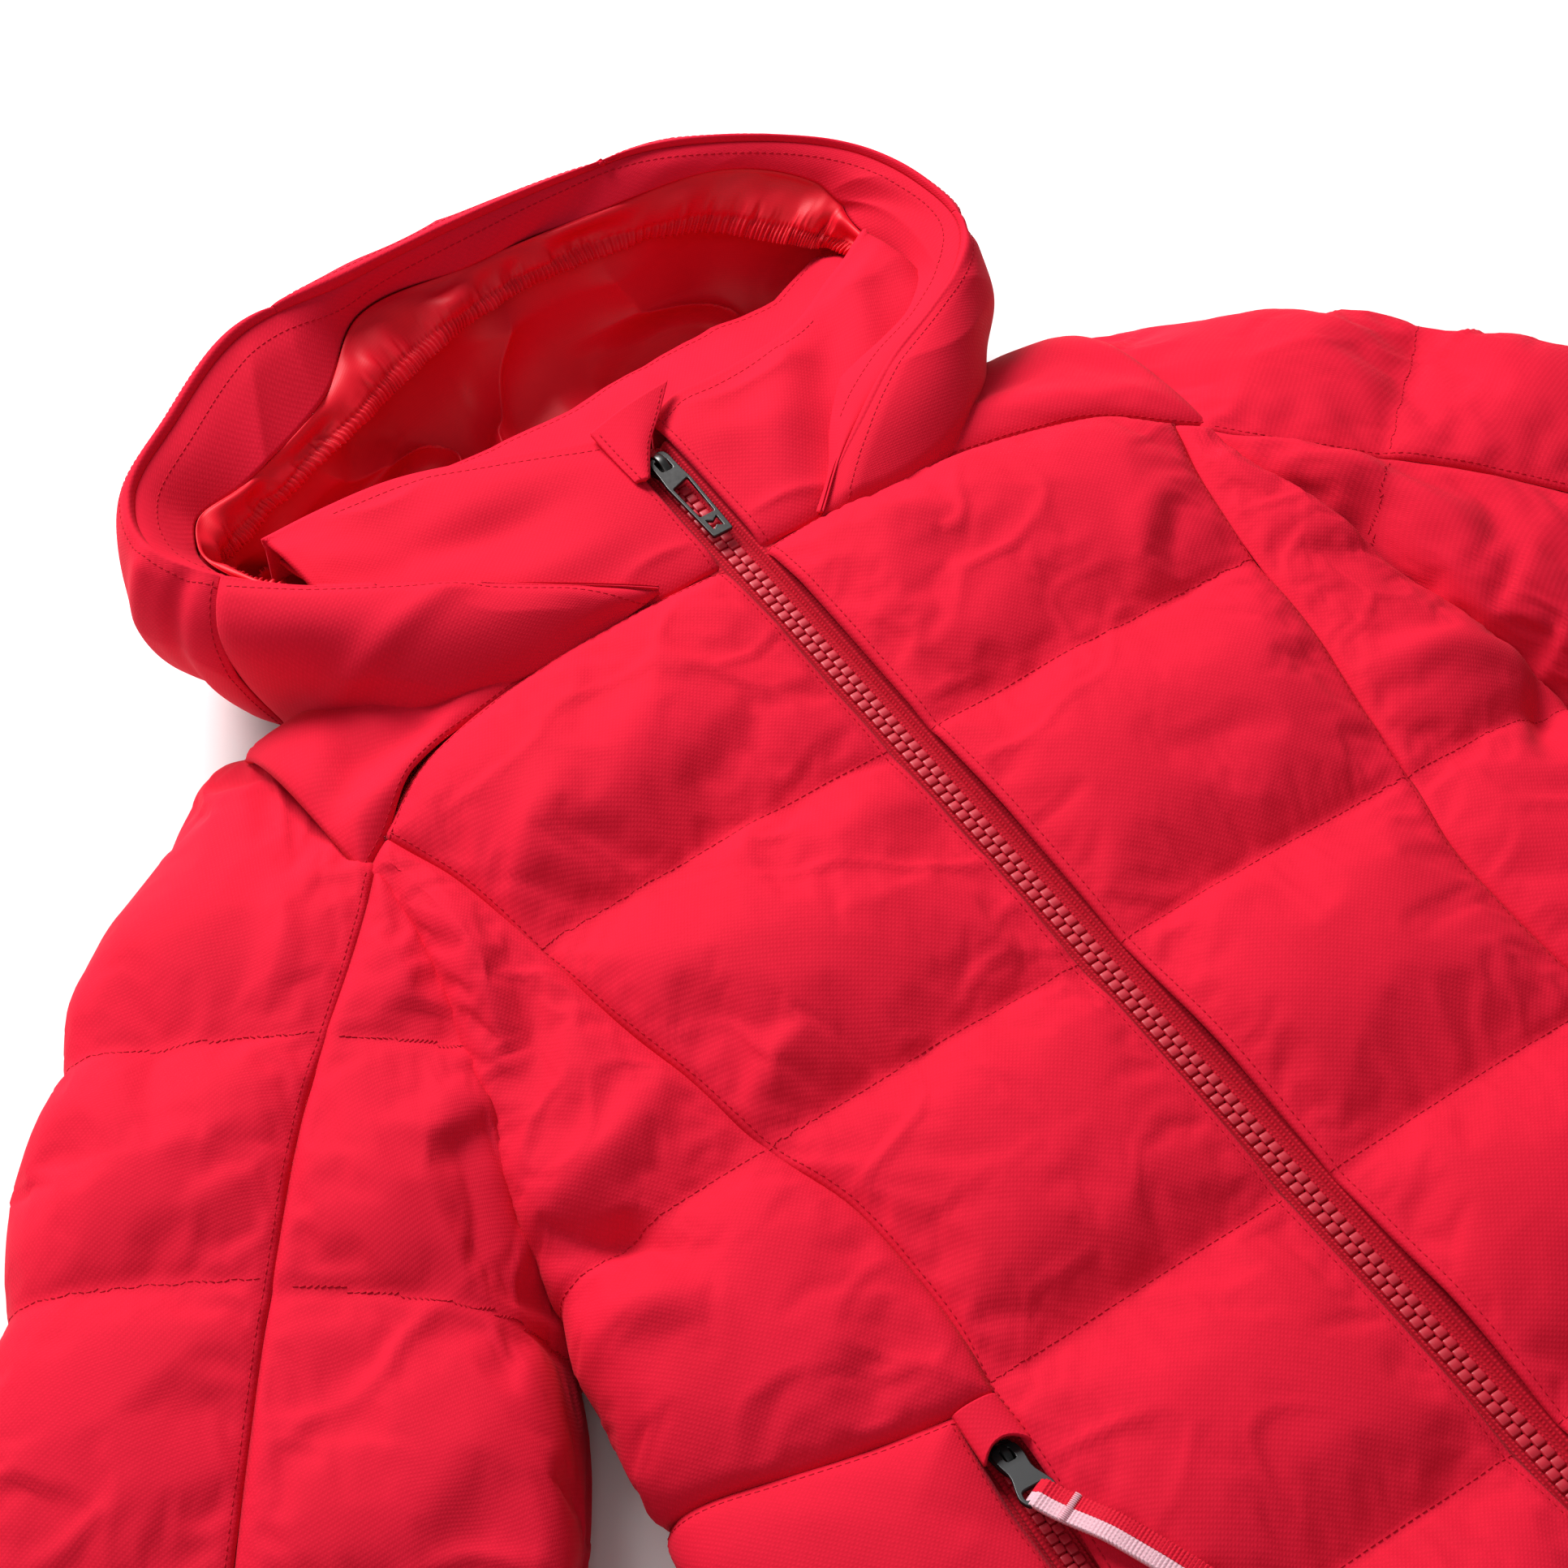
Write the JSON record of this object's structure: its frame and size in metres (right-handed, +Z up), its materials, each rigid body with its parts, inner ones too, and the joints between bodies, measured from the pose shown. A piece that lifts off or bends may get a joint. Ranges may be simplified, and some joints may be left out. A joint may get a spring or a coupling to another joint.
{
  "type": "ski jacket",
  "caption": "Quilted insulated ski jacket with a hood, stand-up collar, full-length moulded zip and slanted zipped pockets, laid flat on its back with its sleeves out.",
  "frame": {"origin": "middle of the jacket's footprint, on the surface that it lies on", "axes": "+X towards the wearer's left, +Y towards the hood, +Z up out of the front; the jacket lies on its back"},
  "size_m": [1.1978, 0.8526, 0.088],
  "materials": {
    "shell_fabric": "matte fine red twill",
    "lining": "satin red taffeta",
    "zip_tape": "knitted dark wine tape",
    "zip_teeth": "glossy moulded red",
    "gunmetal": "satin gunmetal",
    "black_metal": "satin black",
    "webbing": "ribbed woven tape with a red stripe",
    "loop_tape": "woven tape"
  },
  "bodies": {
    "torso": {"back_panel": "shell_fabric", "back_yoke": "shell_fabric", "back_lining": "lining", "snow_skirt": "lining", "main_zip_left": "zip_tape", "main_zip_right": "zip_tape", "zip_box": "zip_teeth", "storm_flap": "lining", "collar_back": "shell_fabric", "collar_front_left": "shell_fabric", "collar_front_right": "shell_fabric", "hanger_loop": "loop_tape", "zip_garage": "shell_fabric", "hood_nape": "shell_fabric", "front_left": "shell_fabric", "side_front_left": "shell_fabric", "lower_side_left": "shell_fabric", "underarm_left": "shell_fabric", "yoke_left": "shell_fabric", "front_lining_left": "lining", "pocket_zip_left": "zip_tape", "pocket_bag_left": "lining", "hood_cheek_left": "shell_fabric", "sleeve_head_front_left": "shell_fabric", "sleeve_head_back_left": "shell_fabric", "front_right": "shell_fabric", "side_front_right": "shell_fabric", "lower_side_right": "shell_fabric", "underarm_right": "shell_fabric", "yoke_right": "shell_fabric", "front_lining_right": "lining", "pocket_zip_right": "zip_tape", "pocket_bag_right": "lining", "hood_cheek_right": "shell_fabric", "sleeve_head_front_right": "shell_fabric", "sleeve_head_back_right": "shell_fabric"},
    "hood": {"hood_side_left": "shell_fabric", "hood_crown": "shell_fabric", "hood_side_right": "shell_fabric", "hood_lining": "lining", "hood_facing": "shell_fabric", "hood_gaiter": "lining"},
    "main_slider": {"main_slider": "gunmetal"},
    "main_pull": {"main_pull_tab": "gunmetal"},
    "pocket_slider_left": {"pocket_slider_left": "black_metal"},
    "pocket_pull_left": {"pocket_puller_left": "black_metal", "pocket_webbing_left": "webbing"},
    "sleeve_left": {"sleeve_front_left": "shell_fabric", "sleeve_back_left": "shell_fabric", "sleeve_lining_left": "lining", "cuff_left": "shell_fabric"},
    "cuff_tab_left": {"cuff_tab_left": "shell_fabric"},
    "pocket_slider_right": {"pocket_slider_right": "black_metal"},
    "pocket_pull_right": {"pocket_puller_right": "black_metal", "pocket_webbing_right": "webbing"},
    "sleeve_right": {"sleeve_front_right": "shell_fabric", "sleeve_back_right": "shell_fabric", "sleeve_lining_right": "lining", "cuff_right": "shell_fabric"},
    "cuff_tab_right": {"cuff_tab_right": "shell_fabric"}
  },
  "joints": [
    {"name": "main_zip_slide", "type": "slide", "parent": "torso", "child": "main_slider", "axis": [0, -1, 0], "range_m": [0, 0.667]},
    {"name": "main_pull_swing", "type": "hinge", "parent": "main_slider", "child": "main_pull", "pos_m": [0, 0.27069, 0.07435], "axis": [-1, 0, 0], "range_deg": [0, 150]},
    {"name": "hood_fold", "type": "hinge", "parent": "torso", "child": "hood", "pos_m": [0, 0.24369, 0.05], "axis": [1, 0, 0], "range_deg": [0, 60]},
    {"name": "pocket_zip_slide_left", "type": "slide", "parent": "torso", "child": "pocket_slider_left", "axis": [0.0651, -0.9979, 0], "range_m": [0, 0.145]},
    {"name": "pocket_pull_swing_left", "type": "hinge", "parent": "pocket_slider_left", "child": "pocket_pull_left", "pos_m": [0.12643, -0.12429, 0.07242], "axis": [-0.9979, -0.0651, 0], "range_deg": [0, 150]},
    {"name": "sleeve_raise_left", "type": "hinge", "parent": "torso", "child": "sleeve_left", "pos_m": [0.2, 0.13369, 0], "axis": [0, 0, 1], "range_deg": [0, 60]},
    {"name": "cuff_tab_open_left", "type": "hinge", "parent": "sleeve_left", "child": "cuff_tab_left", "pos_m": [0.50585, -0.26692, 0.04973], "axis": [0.6561, -0.7547, 0], "range_deg": [0, 150]},
    {"name": "pocket_zip_slide_right", "type": "slide", "parent": "torso", "child": "pocket_slider_right", "axis": [-0.0651, -0.9979, 0], "range_m": [0, 0.145]},
    {"name": "pocket_pull_swing_right", "type": "hinge", "parent": "pocket_slider_right", "child": "pocket_pull_right", "pos_m": [-0.12643, -0.12429, 0.07242], "axis": [-0.9979, 0.0651, 0], "range_deg": [0, 150]},
    {"name": "sleeve_raise_right", "type": "hinge", "parent": "torso", "child": "sleeve_right", "pos_m": [-0.2, 0.13369, 0], "axis": [0, 0, -1], "range_deg": [0, 60]},
    {"name": "cuff_tab_open_right", "type": "hinge", "parent": "sleeve_right", "child": "cuff_tab_right", "pos_m": [-0.55415, -0.22493, 0.04973], "axis": [-0.6561, -0.7547, 0], "range_deg": [0, 150]}
  ]
}
